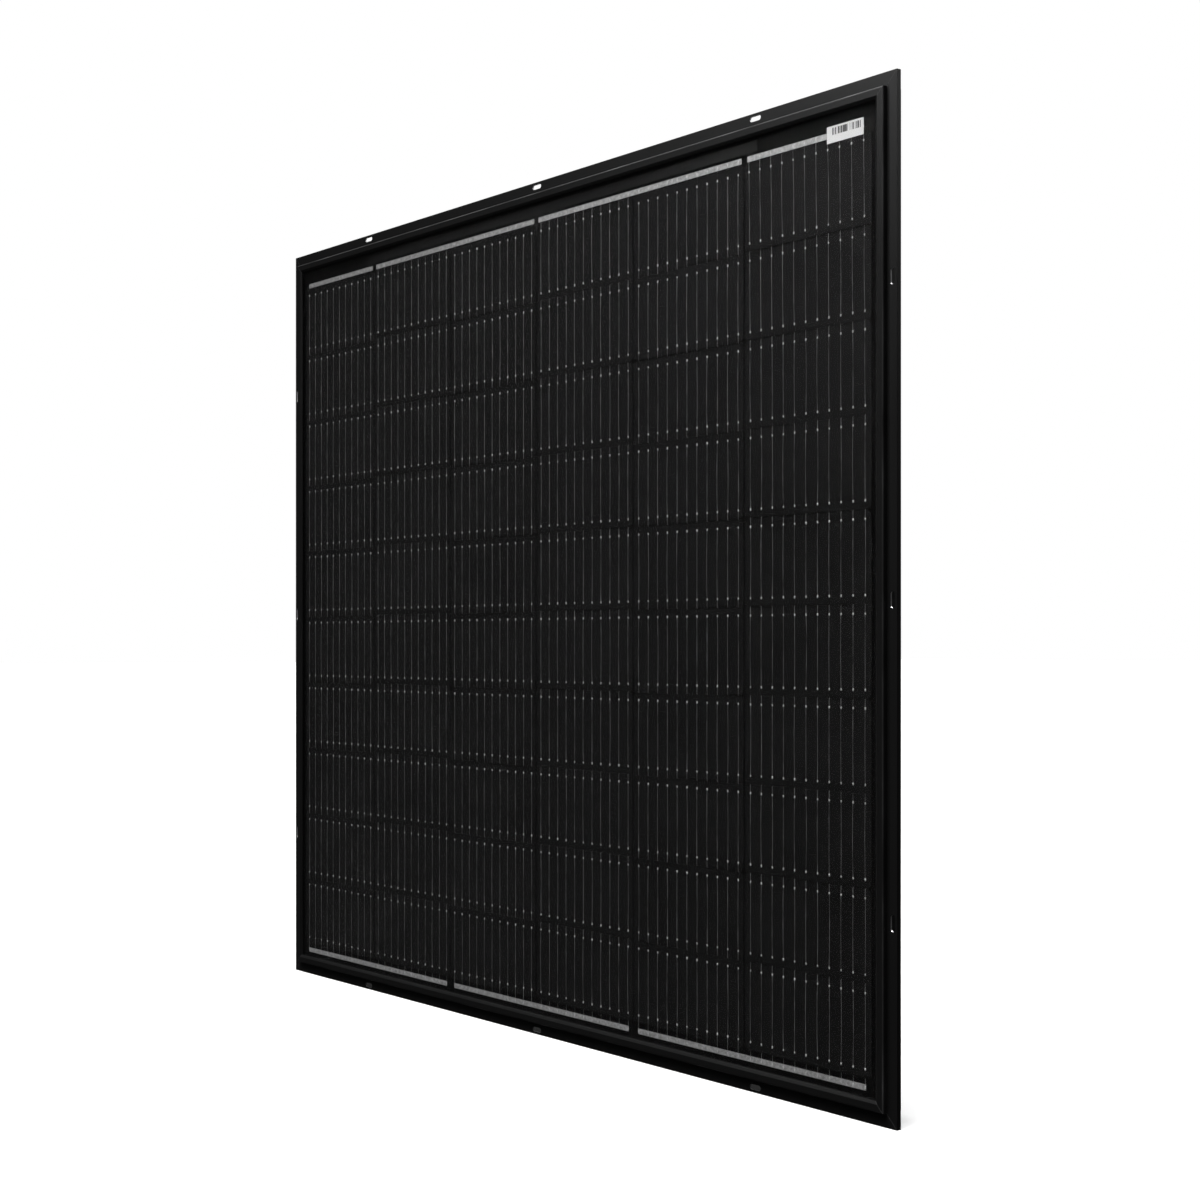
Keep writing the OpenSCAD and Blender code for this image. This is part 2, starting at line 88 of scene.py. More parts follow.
camera_data = bpy.data.cameras.new("camera")
camera_data.sensor_width = 36
camera_data.lens = LENS
camera_data.shift_y = RISE
camera_data.clip_end = 200
camera = bpy.data.objects.new("camera", camera_data)
camera.location = CAMERA_PLACE
camera.rotation_euler = (math.radians(90), 0, math.radians(CAMERA_TURN))
bpy.context.scene.collection.objects.link(camera)
bpy.context.scene.camera = camera
bpy.context.scene.view_settings.view_transform = "Standard"
print("camera at", CAMERA_PLACE, "with a", LENS, "mm lens")


# %% [markdown]
# Materials here are small trees of nodes. One helper adds a node, sets its options, and links or
# sets each of its inputs, so that a material below reads as a list of what it does.

# %% Helpers for materials
def add(tree, kind, inputs=None, **options):
    made = tree.nodes.new("ShaderNode" + kind)
    for option, value in options.items():
        setattr(made, option, value)
    for socket, value in (inputs or {}).items():
        if isinstance(value, bpy.types.NodeSocket):
            tree.links.new(value, made.inputs[socket])
        else:
            made.inputs[socket].default_value = value
    return made


def maths(tree, operation, first, second=0.0, third=0.0):
    values = {0: first, 1: second, 2: third}
    return add(tree, "Math", values, operation=operation).outputs[0]


def new_material(name):
    made = bpy.data.materials.new(name)
    made.use_nodes = True
    made.node_tree.nodes.clear()
    return made, made.node_tree


def finish_with(tree, shader):
    add(tree, "OutputMaterial", {"Surface": shader.outputs[0]})


def between(tree, amount, low, high):
    """A grey or a colour that goes from low to high as amount goes from 0 to 1."""
    shades = {0: amount, 6: (*low, 1), 7: (*high, 1)}
    return add(tree, "Mix", shades, data_type="RGBA").outputs[2]


def layered(tree, amount, base, over):
    """A colour laid over a base colour that is already made of nodes."""
    return add(tree, "Mix", {0: amount, 6: base, 7: (*over, 1)}, data_type="RGBA").outputs[2]


def spread(tree, amount, low, high):
    """A number that goes from low to high as amount goes from 0 to 1."""
    return add(tree, "MapRange", {0: amount, 3: low, 4: high}).outputs[0]


def stretched(tree, scale):
    """The piece's own coordinates in metres, times a scale for each axis."""
    place = add(tree, "TexCoord").outputs["Object"]
    return add(tree, "Mapping", {"Vector": place, "Scale": scale}).outputs[0]


# %% [markdown]
# The studio is a pale floor that runs out into a white surround. Black glass mirrors whatever
# stands round it, so a studio hangs black cloth where it would mirror white walls. Light Path does
# the same here: the camera sees a white room and a pale floor, and every other ray finds both dim.
# The floor glows faintly so that shadows stay light, except in a painted contact shadow close
# behind the panel, where the floor's colour is painted dark and its glow is taken away.

# %% Floor and surround
FLOOR_SIZE = 80
ROOM_SEEN = 1.0
ROOM_SOFT = 0.15
ROOM_MIRRORED = 0.01

world = bpy.data.worlds.new("studio")
world.use_nodes = True
world.node_tree.nodes.clear()
tree = world.node_tree
path = add(tree, "LightPath")
seen, soft, dim = [
    add(tree, "Background", {"Strength": strength}).outputs[0]
    for strength in (ROOM_SEEN, ROOM_SOFT, ROOM_MIRRORED)
]
lit = add(tree, "MixShader", {0: path.outputs["Is Glossy Ray"], 1: soft, 2: dim})
room = add(tree, "MixShader", {0: path.outputs["Is Camera Ray"], 1: lit.outputs[0], 2: seen})
for shade in tree.nodes:
    if shade.type == "BACKGROUND":
        shade.inputs["Color"].default_value = (1, 1, 1, 1)
add(tree, "OutputWorld", {"Surface": room.outputs[0]})
bpy.context.scene.world = world

pale, tree = new_material("pale_floor")
path = add(tree, "LightPath")
speckle = add(tree, "TexNoise", {"Vector": stretched(tree, (30, 30, 30)), "Detail": 3.0})
# Painted contact shadow: a band just behind the panel and across its width, where the floor is painted
# dark and stops glowing.
spot = add(tree, "SeparateXYZ", {0: add(tree, "TexCoord").outputs["Object"]})
side = maths(tree, "ABSOLUTE", spot.outputs[0])
within = add(tree, "MapRange", {0: side, 1: 0.46, 2: HALF_W, 3: 1.0, 4: 0.0}).outputs[0]
behind = add(tree, "MapRange", {0: spot.outputs[1], 1: 0.03, 2: 0.055, 3: 0.97, 4: 0.0}).outputs[0]
behind = maths(tree, "MULTIPLY", behind, maths(tree, "GREATER_THAN", spot.outputs[1], 0.0))
painted_contact_shadow = maths(tree, "MULTIPLY", within, behind)
light_floor = between(tree, speckle.outputs["Fac"], (0.88, 0.88, 0.88), (0.92, 0.92, 0.92))
matt = add(tree, "BsdfDiffuse", {"Color": layered(tree, painted_contact_shadow, light_floor, (0.0, 0.0, 0.0))})
glow = add(tree, "Emission", {
    "Color": (1, 1, 1, 1), "Strength": spread(tree, painted_contact_shadow, 0.22, 0.0),
})
lifted = add(tree, "AddShader", {0: matt.outputs[0], 1: glow.outputs[0]})
dark = add(tree, "BsdfDiffuse", {"Color": (0.008, 0.008, 0.008, 1)})
finish_with(tree, add(tree, "MixShader", {
    0: path.outputs["Is Camera Ray"], 1: dark.outputs[0], 2: lifted.outputs[0],
}))

bm = bmesh.new()
bmesh.ops.create_grid(bm, x_segments=1, y_segments=1, size=FLOOR_SIZE / 2)
bmesh.ops.translate(bm, verts=bm.verts, vec=(0, 0, cad_low.z))
floor_mesh = bpy.data.meshes.new("floor")
bm.to_mesh(floor_mesh)
bm.free()
floor_mesh.materials.append(pale)
floor = bpy.data.objects.new("floor", floor_mesh)
bpy.context.scene.collection.objects.link(floor)

# %% [markdown]
# Four lights. A wide soft light overhead whitens the floor and draws a bright line along every
# edge that faces up. A softbox to the upper left is mirrored faintly by the satin frame near its
# top right corner, just clear of the glass, and leaves the sides that face right in shadow. A
# small light near the top brightens the upper ribbons, and one behind shows the back.

# %% Lights
def lamp(name, kind, place, aim, strength, width):
    data = bpy.data.lights.new(name, kind)
    data.energy = strength
    if kind == "SUN":
        data.angle = math.radians(width)
    else:
        data.shape = "DISK"
        data.size = width
    made = bpy.data.objects.new(name, data)
    made.location = place
    made.rotation_euler = (Vector(place) - Vector(aim)).to_track_quat("Z", "Y").to_euler()
    bpy.context.scene.collection.objects.link(made)
    return made


lamp("overhead", "SUN", (-0.1, -0.32, 1.0), (0, 0, 0), 4.0, 40)
lamp("softbox", "AREA", (-1.36, -2.1, 1.88), (0.3, 0, 0.3), 5.5, 0.8)
lamp("top_light", "AREA", (0.35, -0.5, 1.0), (0.35, 0, 0.45), 4.2, 0.4)
lamp("back_light", "AREA", (0.6, 2.2, 1.7), (0, 0, 0), 75, 1.0)


# %% [markdown]
# Patterns that several finishes share are node groups, built once. The first tells a rail how far
# it is from the panel's outer edge and how far from the corner's mitre, so that wear, a painted
# highlight and saw cuts land in the right place. The second is dust, which settles on what faces up.

# %% Shared patterns
def new_group(name, inputs, outputs):
    group = bpy.data.node_groups.new(name, "ShaderNodeTree")
    for socket, kind in inputs.items():
        group.interface.new_socket(socket, in_out="INPUT", socket_type=kind)
    for socket, kind in outputs.items():
        group.interface.new_socket(socket, in_out="OUTPUT", socket_type=kind)
    start = group.nodes.new("NodeGroupInput")
    end = group.nodes.new("NodeGroupOutput")
    return group, start.outputs, end.inputs


rim_group, given, result = new_group(
    "distance_in_from_the_rim",
    {"Place": "NodeSocketVector"},
    {"Inset": "NodeSocketFloat", "Mitre": "NodeSocketFloat"},
)
axes = add(rim_group, "SeparateXYZ", {0: given["Place"]})
across = maths(rim_group, "SUBTRACT", HALF_W, maths(rim_group, "ABSOLUTE", axes.outputs[0]))
down = maths(rim_group, "SUBTRACT", HALF_H, maths(rim_group, "ABSOLUTE", axes.outputs[2]))
rim_group.links.new(maths(rim_group, "MINIMUM", across, down), result["Inset"])
apart = maths(rim_group, "ABSOLUTE", maths(rim_group, "SUBTRACT", across, down))
rim_group.links.new(apart, result["Mitre"])

dust_group, given, result = new_group(
    "settled_dust",
    {"Place": "NodeSocketVector", "Normal": "NodeSocketVector", "Amount": "NodeSocketFloat"},
    {"Mask": "NodeSocketFloat"},
)
upward = add(dust_group, "SeparateXYZ", {0: given["Normal"]}).outputs[2]
clumps = add(dust_group, "TexNoise", {"Vector": given["Place"], "Scale": 90.0, "Detail": 6.0})
lying = maths(dust_group, "MULTIPLY", spread(dust_group, upward, 0.15, 1.0), clumps.outputs["Fac"])
dust_group.links.new(maths(dust_group, "MULTIPLY", lying, given["Amount"]), result["Mask"])


def dust(tree, amount):
    made = add(tree, "Group", node_tree=dust_group)
    tree.links.new(add(tree, "TexCoord").outputs["Object"], made.inputs["Place"])
    tree.links.new(add(tree, "NewGeometry").outputs["Normal"], made.inputs["Normal"])
    made.inputs["Amount"].default_value = amount
    return made.outputs["Mask"]


print("patterns:", [group.name for group in bpy.data.node_groups])

# %% [markdown]
# The rails are extruded aluminium, anodised black. The die leaves fine lines along the rail, so
# the noise that drives the roughness and bump is stretched along it. The slots and the mitres are
# cut after the colour goes on, so their walls and corners show bare metal. A thin band along the
# bezel's outer edge is lightened too: partly rubbed wear, partly a painted highlight.

# %% Anodised rails
SLOT_HALF_L = 8.6 * MM
SLOT_INSET = 9 * MM
FLANGE_T = 1.6 * MM
BEZEL_EDGE = 14.3 * MM
EDGE_WEAR_AND_HIGHLIGHT_W = 0.9 * MM
SAW_W = 0.28 * MM


def anodised(name, along, slot_pitch, wear_and_highlight):
    made, tree = new_material(name)
    scale = [900.0, 900.0, 900.0]
    scale[along] = 3.0
    place = add(tree, "TexCoord").outputs["Object"]
    lines = add(tree, "TexNoise", {"Vector": stretched(tree, scale), "Scale": 1.0, "Detail": 3.0})
    cloud = add(tree, "TexNoise", {"Vector": place, "Scale": 14.0, "Detail": 4.0})
    grain = add(tree, "TexNoise", {"Vector": place, "Scale": 2600.0, "Detail": 1.0})
    rim = add(tree, "Group", node_tree=rim_group)
    tree.links.new(place, rim.inputs["Place"])

    axis = add(tree, "SeparateXYZ", {0: place})
    face = add(tree, "SeparateXYZ", {0: add(tree, "NewGeometry").outputs["Normal"]})
    from_slot = maths(tree, "ABSOLUTE", maths(
        tree, "WRAP", axis.outputs[along], slot_pitch / 2, -slot_pitch / 2
    ))
    cut = maths(tree, "LESS_THAN", maths(tree, "ABSOLUTE", face.outputs[1]), 0.7)
    for value, limit in (
        (from_slot, SLOT_HALF_L), (rim.outputs["Inset"], SLOT_INSET),
        (maths(tree, "ABSOLUTE", axis.outputs[1]), FLANGE_T),
    ):
        cut = maths(tree, "MULTIPLY", cut, maths(tree, "LESS_THAN", value, limit))
    inner = maths(tree, "GREATER_THAN", rim.outputs["Inset"], 2 * MM)
    cut = maths(tree, "MULTIPLY", cut, inner)
    sawn = maths(tree, "LESS_THAN", rim.outputs["Mitre"], SAW_W)
    sawn = maths(tree, "MULTIPLY", sawn, spread(tree, cloud.outputs["Fac"], 0.0, 0.22))
    # Bezel edge band: partly rubbed wear, partly a painted highlight on the rounding that faces the
    # overhead light. It lightens the colour and makes it metallic.
    edge = add(tree, "MapRange", {
        0: maths(tree, "ABSOLUTE", maths(tree, "SUBTRACT", rim.outputs["Inset"], BEZEL_EDGE)),
        1: 0.0, 2: EDGE_WEAR_AND_HIGHLIGHT_W, 3: 1.0, 4: 0.0,
    }).outputs[0]
    rubbed_wear_and_highlight = maths(tree, "MULTIPLY", edge, maths(tree, "POWER", cloud.outputs["Fac"], 3.0))
    rubbed_wear_and_highlight = maths(tree, "MULTIPLY", rubbed_wear_and_highlight, wear_and_highlight)
    bare_and_highlight = maths(tree, "MAXIMUM", cut, maths(tree, "MAXIMUM", sawn, rubbed_wear_and_highlight))

    black = between(tree, lines.outputs["Fac"], (0.0040, 0.0040, 0.0041), (0.0068, 0.0068, 0.0069))
    dusty = layered(tree, dust(tree, 0.03), black, (0.25, 0.25, 0.24))
    colour = layered(tree, bare_and_highlight, dusty, (0.62, 0.62, 0.63))
    rough = spread(tree, maths(tree, "ADD", lines.outputs["Fac"], cloud.outputs["Fac"]), 0.30, 0.40)
    height = maths(tree, "ADD", lines.outputs["Fac"], maths(tree, "MULTIPLY", grain.outputs["Fac"], 0.4))
    bump = add(tree, "Bump", {"Height": height, "Strength": 0.25, "Distance": 0.00003})
    finish_with(tree, add(tree, "BsdfPrincipled", {
        "Base Color": colour, "Roughness": rough,
        "Metallic": maths(tree, "MULTIPLY", bare_and_highlight, 0.8),
        "Specular IOR Level": 0.55, "Normal": bump.outputs[0],
    }))
    return made


# The long rails carry the top edge, so they take the full band of wear and painted highlight. The side
# rails take less.
long_rail = anodised("black_anodised_long_rail", 0, 0.384, 1.0)
side_rail = anodised("black_anodised_side_rail", 2, 0.3095, 0.4)

# %% [markdown]
# A cell is a slice of silicon with a nearly black coat, crossed by silver fingers thinner than a
# hair. No two cells are quite the same shade, so a random value for each cell in the grid shifts
# the coat, and a slow noise clouds it.

# %% Silicon cells
CELL_PITCH = (184 * MM, 1.0, 92 * MM)
FINGER_PITCH = 1.3 * MM
FINGER_SHARE = 0.035

cell_low, cell_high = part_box("cell_string_1")
silicon, tree = new_material("silicon_cell")
place = add(tree, "TexCoord").outputs["Object"]
shifted = add(tree, "VectorMath", {0: place, 1: (0, 0, -cell_low.z)}, operation="SUBTRACT")
counted = add(tree, "VectorMath", {0: shifted.outputs[0], 1: CELL_PITCH}, operation="DIVIDE")
whole = add(tree, "VectorMath", {0: counted.outputs[0]}, operation="FLOOR")
shade = add(tree, "TexWhiteNoise", {"Vector": whole.outputs[0]}).outputs["Value"]
cloud = add(tree, "TexNoise", {"Vector": place, "Scale": 9.0, "Detail": 5.0}).outputs["Fac"]
height = add(tree, "SeparateXYZ", {0: place}).outputs[2]
finger = maths(tree, "LESS_THAN", maths(
    tree, "FRACT", maths(tree, "DIVIDE", height, FINGER_PITCH)
), FINGER_SHARE)
coat = between(
    tree, maths(tree, "MULTIPLY_ADD", shade, 0.5, maths(tree, "MULTIPLY", cloud, 0.5)),
    (0.0012, 0.0012, 0.0013), (0.0030, 0.0030, 0.0031),
)
lined = layered(tree, maths(tree, "MULTIPLY", finger, 0.25), coat, (0.06, 0.06, 0.06))
bump = add(tree, "Bump", {"Height": finger, "Strength": 0.3, "Distance": 0.00002})
finish_with(tree, add(tree, "BsdfPrincipled", {
    "Base Color": lined, "Roughness": spread(tree, cloud, 0.46, 0.60),
    "Specular IOR Level": 0.14, "Normal": bump.outputs[0],
}))


# %% [markdown]
# Wires, ribbons and solder are all tinned copper. Hand-made solder is mottled: bright where it set
# smooth and grey where it set rough. On the wires the colour drifts from grey to bright from one
# wire to the next and along each one: a painted sheen for wires that twist a little between joints.

# %% Tinned copper and solder
def tinned(name, dull, bright, patch_scale, rough, bump_size, metal):
    made, tree = new_material(name)
    patches = add(tree, "TexNoise", {"Vector": stretched(tree, patch_scale), "Scale": 1.0, "Detail": 5.0})
    fine = add(tree, "TexNoise", {"Vector": stretched(tree, (1, 1, 1)), "Scale": 700.0, "Detail": 2.0})
    sharp = add(tree, "MapRange", {0: patches.outputs["Fac"], 1: 0.3, 2: 0.7}).outputs[0]
    bump = add(tree, "Bump", {
        "Height": maths(tree, "MULTIPLY_ADD", fine.outputs["Fac"], 0.3, sharp),
        "Strength": 0.6, "Distance": bump_size,
    })
    finish_with(tree, add(tree, "BsdfPrincipled", {
        "Base Color": between(tree, sharp, dull, bright),
        "Roughness": spread(tree, sharp, rough + 0.12, rough),
        "Metallic": metal, "Normal": bump.outputs[0],
    }))
    return made


def grey(level):
    return (level, level, level)


# On the wires, the dull-to-bright colour patches are a painted sheen, not a change in the tin.
wire_metal = tinned("tinned_wire", grey(0.20), grey(0.98), (95, 95, 45), 0.30, 0.00002, 0.35)
ribbon_metal = tinned("tinned_ribbon", grey(0.45), grey(0.84), (260, 260, 320), 0.34, 0.0001, 0.6)
solder = tinned("solder", grey(0.80), grey(0.99), (900, 900, 900), 0.30, 0.00006, 0.1)

# %% [markdown]
# Solar glass is low in iron, so nearly colourless, and its face is rolled with a fine pattern that
# breaks up reflections. It bends light, so the cells look nearer the frame's edge than they are.
# Shadow and diffuse rays pass straight through, which saves tracing light through real glass.

# %% Glass and clear film
pattern_glass, tree = new_material("rolled_glass")
path = add(tree, "LightPath")
rolled = add(tree, "TexNoise", {"Vector": stretched(tree, (1, 1, 1)), "Scale": 900.0, "Detail": 1.0})
bump = add(tree, "Bump", {"Height": rolled.outputs["Fac"], "Strength": 0.08, "Distance": 0.00003})
glass = add(tree, "BsdfPrincipled", {
    "Base Color": (0.98, 0.98, 0.98, 1), "Roughness": 0.06, "IOR": 1.5,
    "Transmission Weight": 1.0, "Normal": bump.outputs[0],
})
straight = add(tree, "BsdfTransparent", {"Color": (0.96, 0.96, 0.96, 1)})
unbent = maths(tree, "MAXIMUM", path.outputs["Is Shadow Ray"], path.outputs["Is Diffuse Ray"])
finish_with(tree, add(tree, "MixShader", {0: unbent, 1: glass.outputs[0], 2: straight.outputs[0]}))

clear_film, tree = new_material("clear_film")
haze = add(tree, "TexNoise", {"Vector": stretched(tree, (1, 1, 1)), "Scale": 25.0, "Detail": 4.0})
through = add(tree, "BsdfTransparent", {"Color": (0.99, 0.99, 0.99, 1)})
milk = add(tree, "BsdfDiffuse", {"Color": (0.3, 0.3, 0.3, 1)})
finish_with(tree, add(tree, "MixShader", {
    0: spread(tree, haze.outputs["Fac"], 0.0, 0.0015), 1: through.outputs[0], 2: milk.outputs[0],
}))


# %% [markdown]
# Everything else is black, and differs in how it scatters light: sheet is smooth with a woven
# mark, moulded plastic has a fine spark-eroded grain, silicone is soft and slightly shiny. One
# function with a grain, a roughness and some dust makes them all.

# %% Blacks
def black_finish(name, low, high, grain, depth, rough, dusty=0.0, shine=0.5):
    made, tree = new_material(name)
    cloud = add(tree, "TexNoise", {"Vector": stretched(tree, (1, 1, 1)), "Scale": 18.0, "Detail": 5.0})
    fine = add(tree, "TexNoise", {"Vector": stretched(tree, grain), "Scale": 1.0, "Detail": 2.0})
    base = between(tree, cloud.outputs["Fac"], (low, low, low * 1.03), (high, high, high * 1.03))
    colour = layered(tree, dust(tree, dusty), base, (0.22, 0.21, 0.19))
    bump = add(tree, "Bump", {"Height": fine.outputs["Fac"], "Strength": 0.5, "Distance": depth})
    finish_with(tree, add(tree, "BsdfPrincipled", {
        "Base Color": colour,
        "Roughness": spread(tree, fine.outputs["Fac"], rough - 0.06, rough + 0.08),
        "Specular IOR Level": shine, "Normal": bump.outputs[0],
    }))
    return made


sheet = black_finish("black_sheet", 0.0058, 0.0085, (1400, 1, 1400), 0.00003, 0.5, 0.02, 0.3)
tape = black_finish("insulating_film", 0.0035, 0.0050, (500, 1, 500), 0.00002, 0.45, 0.0, 0.3)
moulded = black_finish("moulded_plastic", 0.010, 0.017, (1500, 1500, 1500), 0.00008, 0.48, 0.10)
silicone = black_finish("black_silicone", 0.003, 0.0055, (300, 300, 300), 0.00010, 0.42, 0.02, 0.4)
rubber = black_finish("rubber", 0.012, 0.020, (900, 900, 900), 0.00006, 0.62, 0.10)
epoxy = black_finish("diode_epoxy", 0.008, 0.014, (2000, 2000, 2000), 0.00003, 0.36, 0.02)


# %% [markdown]
# The labels are printed, with nothing to read. The one under the glass has a row of bars of random
# width. The one on the back has ruled boxes, as a rating plate has, all left empty.

# %% Labels
BAR_W = 0.55 * MM
serial_low, serial_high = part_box("serial_label")
serial_print, tree = new_material("serial_label")
place = add(tree, "TexCoord").outputs["Object"]
axis = add(tree, "SeparateXYZ", {0: place})
bars = maths(tree, "FLOOR", maths(tree, "DIVIDE", axis.outputs[0], BAR_W))
printed = maths(tree, "GREATER_THAN", add(
    tree, "TexWhiteNoise", {"W": bars}, noise_dimensions="1D"
).outputs["Value"], 0.5)
serial_h = serial_high.z - serial_low.z
for side, limit in (
    ("GREATER_THAN", serial_low.z + 0.46 * serial_h), ("LESS_THAN", serial_high.z - 0.12 * serial_h),
):
    printed = maths(tree, "MULTIPLY", printed, maths(tree, side, axis.outputs[2], limit))
for side, limit in (("GREATER_THAN", serial_low.x + 5 * MM), ("LESS_THAN", serial_high.x - 4 * MM)):
    printed = maths(tree, "MULTIPLY", printed, maths(tree, side, axis.outputs[0], limit))
fibre = add(tree, "TexNoise", {"Vector": place, "Scale": 800.0, "Detail": 3.0}).outputs["Fac"]
paper = between(tree, fibre, (0.90, 0.90, 0.90), (0.96, 0.96, 0.96))
inked = layered(tree, maths(tree, "MULTIPLY", printed, 0.92), paper, (0.02, 0.02, 0.02))
bump = add(tree, "Bump", {"Height": fibre, "Strength": 0.2, "Distance": 0.00002})
finish_with(tree, add(tree, "BsdfPrincipled", {
    "Base Color": inked, "Roughness": spread(tree, fibre, 0.5, 0.65), "Normal": bump.outputs[0],
}))

rating_low, rating_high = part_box("rating_label")
rating_print, tree = new_material("rating_label")
place = add(tree, "TexCoord").outputs["Object"]
centre = (rating_low + rating_high) / 2
flat = add(tree, "Mapping", {
    "Vector": place, "Location": (50 * MM, -centre.z, 0), "Rotation": (math.radians(90), 0, 0),
})
table = add(tree, "TexBrick", {
    "Vector": flat.outputs[0], "Scale": 1.0, "Mortar Size": 0.25 * MM, "Brick Width": 33.2 * MM,
    "Row Height": 8.1 * MM, "Mortar Smooth": 0.0, "Bias": 0.0,
}, offset=0.0, squash=1.0)
fibre = add(tree, "TexNoise", {"Vector": place, "Scale": 600.0, "Detail": 3.0}).outputs["Fac"]
foil = between(tree, fibre, (0.42, 0.42, 0.43), (0.52, 0.52, 0.53))
inked = layered(tree, table.outputs["Fac"], foil, (0.03, 0.03, 0.03))
finish_with(tree, add(tree, "BsdfPrincipled", {
    "Base Color": inked, "Roughness": spread(tree, fibre, 0.30, 0.42), "Metallic": 0.3,
}))


# %% [markdown]
# The bare metals inside the frame and the box: cast corner keys, and brass terminals with a
# brushed face.

# %% Bare metals
def bare_metal(name, low, high, grain, rough):
    made, tree = new_material(name)
    fine = add(tree, "TexNoise", {"Vector": stretched(tree, grain), "Scale": 1.0, "Detail": 3.0})
    stain = add(tree, "TexNoise", {"Vector": stretched(tree, (60, 60, 60)), "Scale": 1.0, "Detail": 4.0})
    bump = add(tree, "Bump", {"Height": fine.outputs["Fac"], "Strength": 0.4, "Distance": 0.00004})
    finish_with(tree, add(tree, "BsdfPrincipled", {
        "Base Color": between(tree, stain.outputs["Fac"], low, high),
        "Roughness": spread(tree, fine.outputs["Fac"], rough - 0.08, rough + 0.1),
        "Metallic": 1.0, "Normal": bump.outputs[0],
    }))
    return made


cast = bare_metal("cast_aluminium", (0.45, 0.45, 0.46), (0.62, 0.62, 0.63), (700, 700, 700), 0.5)
brass = bare_metal("tinned_brass", (0.50, 0.36, 0.18), (0.66, 0.50, 0.28), (80, 1500, 1500), 0.34)

# %% Every part gets its finish
finishes = {
    "frame": long_rail, "corner_key": cast, "edge_seal": silicone, "front_glass": pattern_glass,
    "encapsulant": clear_film, "cell": silicon, "wire": wire_metal, "ribbon": ribbon_metal,
    "insulation": tape, "backsheet": sheet, "serial_label": serial_print,
    "rating_label": rating_print, "box_plastic": moulded, "box_adhesive": silicone,
    "box_rubber": rubber, "terminal": brass, "diode": epoxy,
}
for part in frame["record"]["subparts"]:
    mesh = nodes[part["node"]].data
    mesh.materials.clear()
    mesh.materials.append(finishes[part["material_slot"]])
for side in ("frame_left", "frame_right"):
    nodes[side].data.materials[0] = side_rail
print(len(finishes), "finishes on", len(nodes), "parts")


# %% [markdown]
# New pieces are built in a bmesh in the panel's own place, then turned into an object that sits at
# the origin. Each says which body it moves with and which finish it takes.

# %% A helper for pieces
def piece(bm, name, finish, body="panel", smooth=40, replaces=()):
    bmesh.ops.remove_doubles(bm, verts=bm.verts, dist=0.000002)
    bmesh.ops.recalc_face_normals(bm, faces=bm.faces)
    mesh = bpy.data.meshes.new(name)
    for face in bm.faces:
        face.smooth = smooth > 0
    for edge in bm.edges:
        edge.smooth = len(edge.link_faces) == 2 and edge.calc_face_angle(0) < math.radians(smooth)
    bm.to_mesh(mesh)
    faces = len(bm.faces)
    bm.free()
    mesh.materials.append(finish)
    made = bpy.data.objects.new(name, mesh)
    bpy.context.scene.collection.objects.link(made)
    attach(made, body)
    if replaces:
        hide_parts(*replaces)
    print(name, faces, "faces")
    return made


def block(bm, low, high, bevel=0.0, segments=2):
    """A box between two corners, with its edges rounded."""
    low, high = Vector(low), Vector(high)
    size = high - low
    made = bmesh.ops.create_cube(bm, size=1.0, matrix=Matrix.LocRotScale((low + high) / 2, None, size))
    if bevel:
        edges = list({edge for vert in made["verts"] for edge in vert.link_edges})
        bmesh.ops.bevel(
            bm, geom=edges, offset=bevel, segments=segments, profile=0.5, affect="EDGES", material=-1
        )


# %% [markdown]
# The glass is a plate whose edges are ground off, so that they don't chip in the frame. It stops a
# hair short of the film behind it, because two faces in one place flicker.

# %% Ground glass plate
HAIR = 0.02 * MM
low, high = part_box("front_glass")
bm = bmesh.new()
block(bm, low, (high.x, high.y - HAIR, high.z), bevel=0.5 * MM)
piece(bm, "ground_glass_plate", pattern_glass, smooth=0, replaces=["front_glass"])


# %% [markdown]
# Each wire is round, starts a little way down the face of one cell, and steps through the gap to
# the back of the next. It is drawn out as a tube: a ring of points, extruded from one place to the
# next. Between its joints it bows a little, as a thin wire does.

# %% Round wires
WIRE_R = 0.125 * MM
WIRE_START = 8 * MM
CELL_H = 91 * MM
ROW_PITCH = 92 * MM
ROWS = 10
WIRES = 11
BOW = 0.75 * MM
STEPS = 7
LEAN = 2.4 * MM
LEAN_FROM = 0.15
LEAN_H = 0.31

random.seed(11)
cell_low, cell_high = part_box("cell_string_1")
FRONT_Y = cell_low.y - 0.13 * MM
REAR_Y = cell_high.y + 0.13 * MM


def tube(bm, points, radius, sides=6):
    """A tube along points that run mostly up or down."""
    turn = Matrix.Translation(points[0])
    ring = bmesh.ops.create_circle(bm, segments=sides, radius=radius, cap_ends=True, matrix=turn)
    edges = list({edge for vert in ring["verts"] for edge in vert.link_edges})
    for here, there in zip(points, points[1:]):
        drawn = bmesh.ops.extrude_edge_only(bm, edges=edges)["geom"]
        verts = [item for item in drawn if isinstance(item, bmesh.types.BMVert)]
        edges = [item for item in drawn if isinstance(item, bmesh.types.BMEdge)]
        edges = [edge for edge in edges if all(vert in verts for vert in edge.verts)]
        bmesh.ops.translate(bm, verts=verts, vec=Vector(there) - Vector(here))
    bmesh.ops.holes_fill(bm, edges=edges)


def merge(whole, part):
    """Adds a small bmesh to a large one."""
    held = bpy.data.meshes.new("held")
    part.to_mesh(held)
    part.free()
    whole.from_mesh(held)
    bpy.data.meshes.remove(held)


def crook(string, z):
    """How far the last string leans sideways: nothing at LEAN_FROM and most at its top."""
    if string != 6:
        return 0.0
    return -LEAN * max(0.0, (z - LEAN_FROM) / LEAN_H) ** 2


def bowed(x, start, end, way, top, y):
    """Points of a wire on a cell's face, from one joint to the other, with a slight bow."""
    bow, ripple = random.uniform(-BOW, BOW), random.uniform(-0.08, 0.08) * MM
    points = []
    for step in range(STEPS + 1):
        t = step / STEPS
        aside = bow * math.sin(math.pi * t) + ripple * math.sin(5 * math.pi * t)
        points.append((x + aside, y, top + way * (start + (end - start) * t)))
    return points


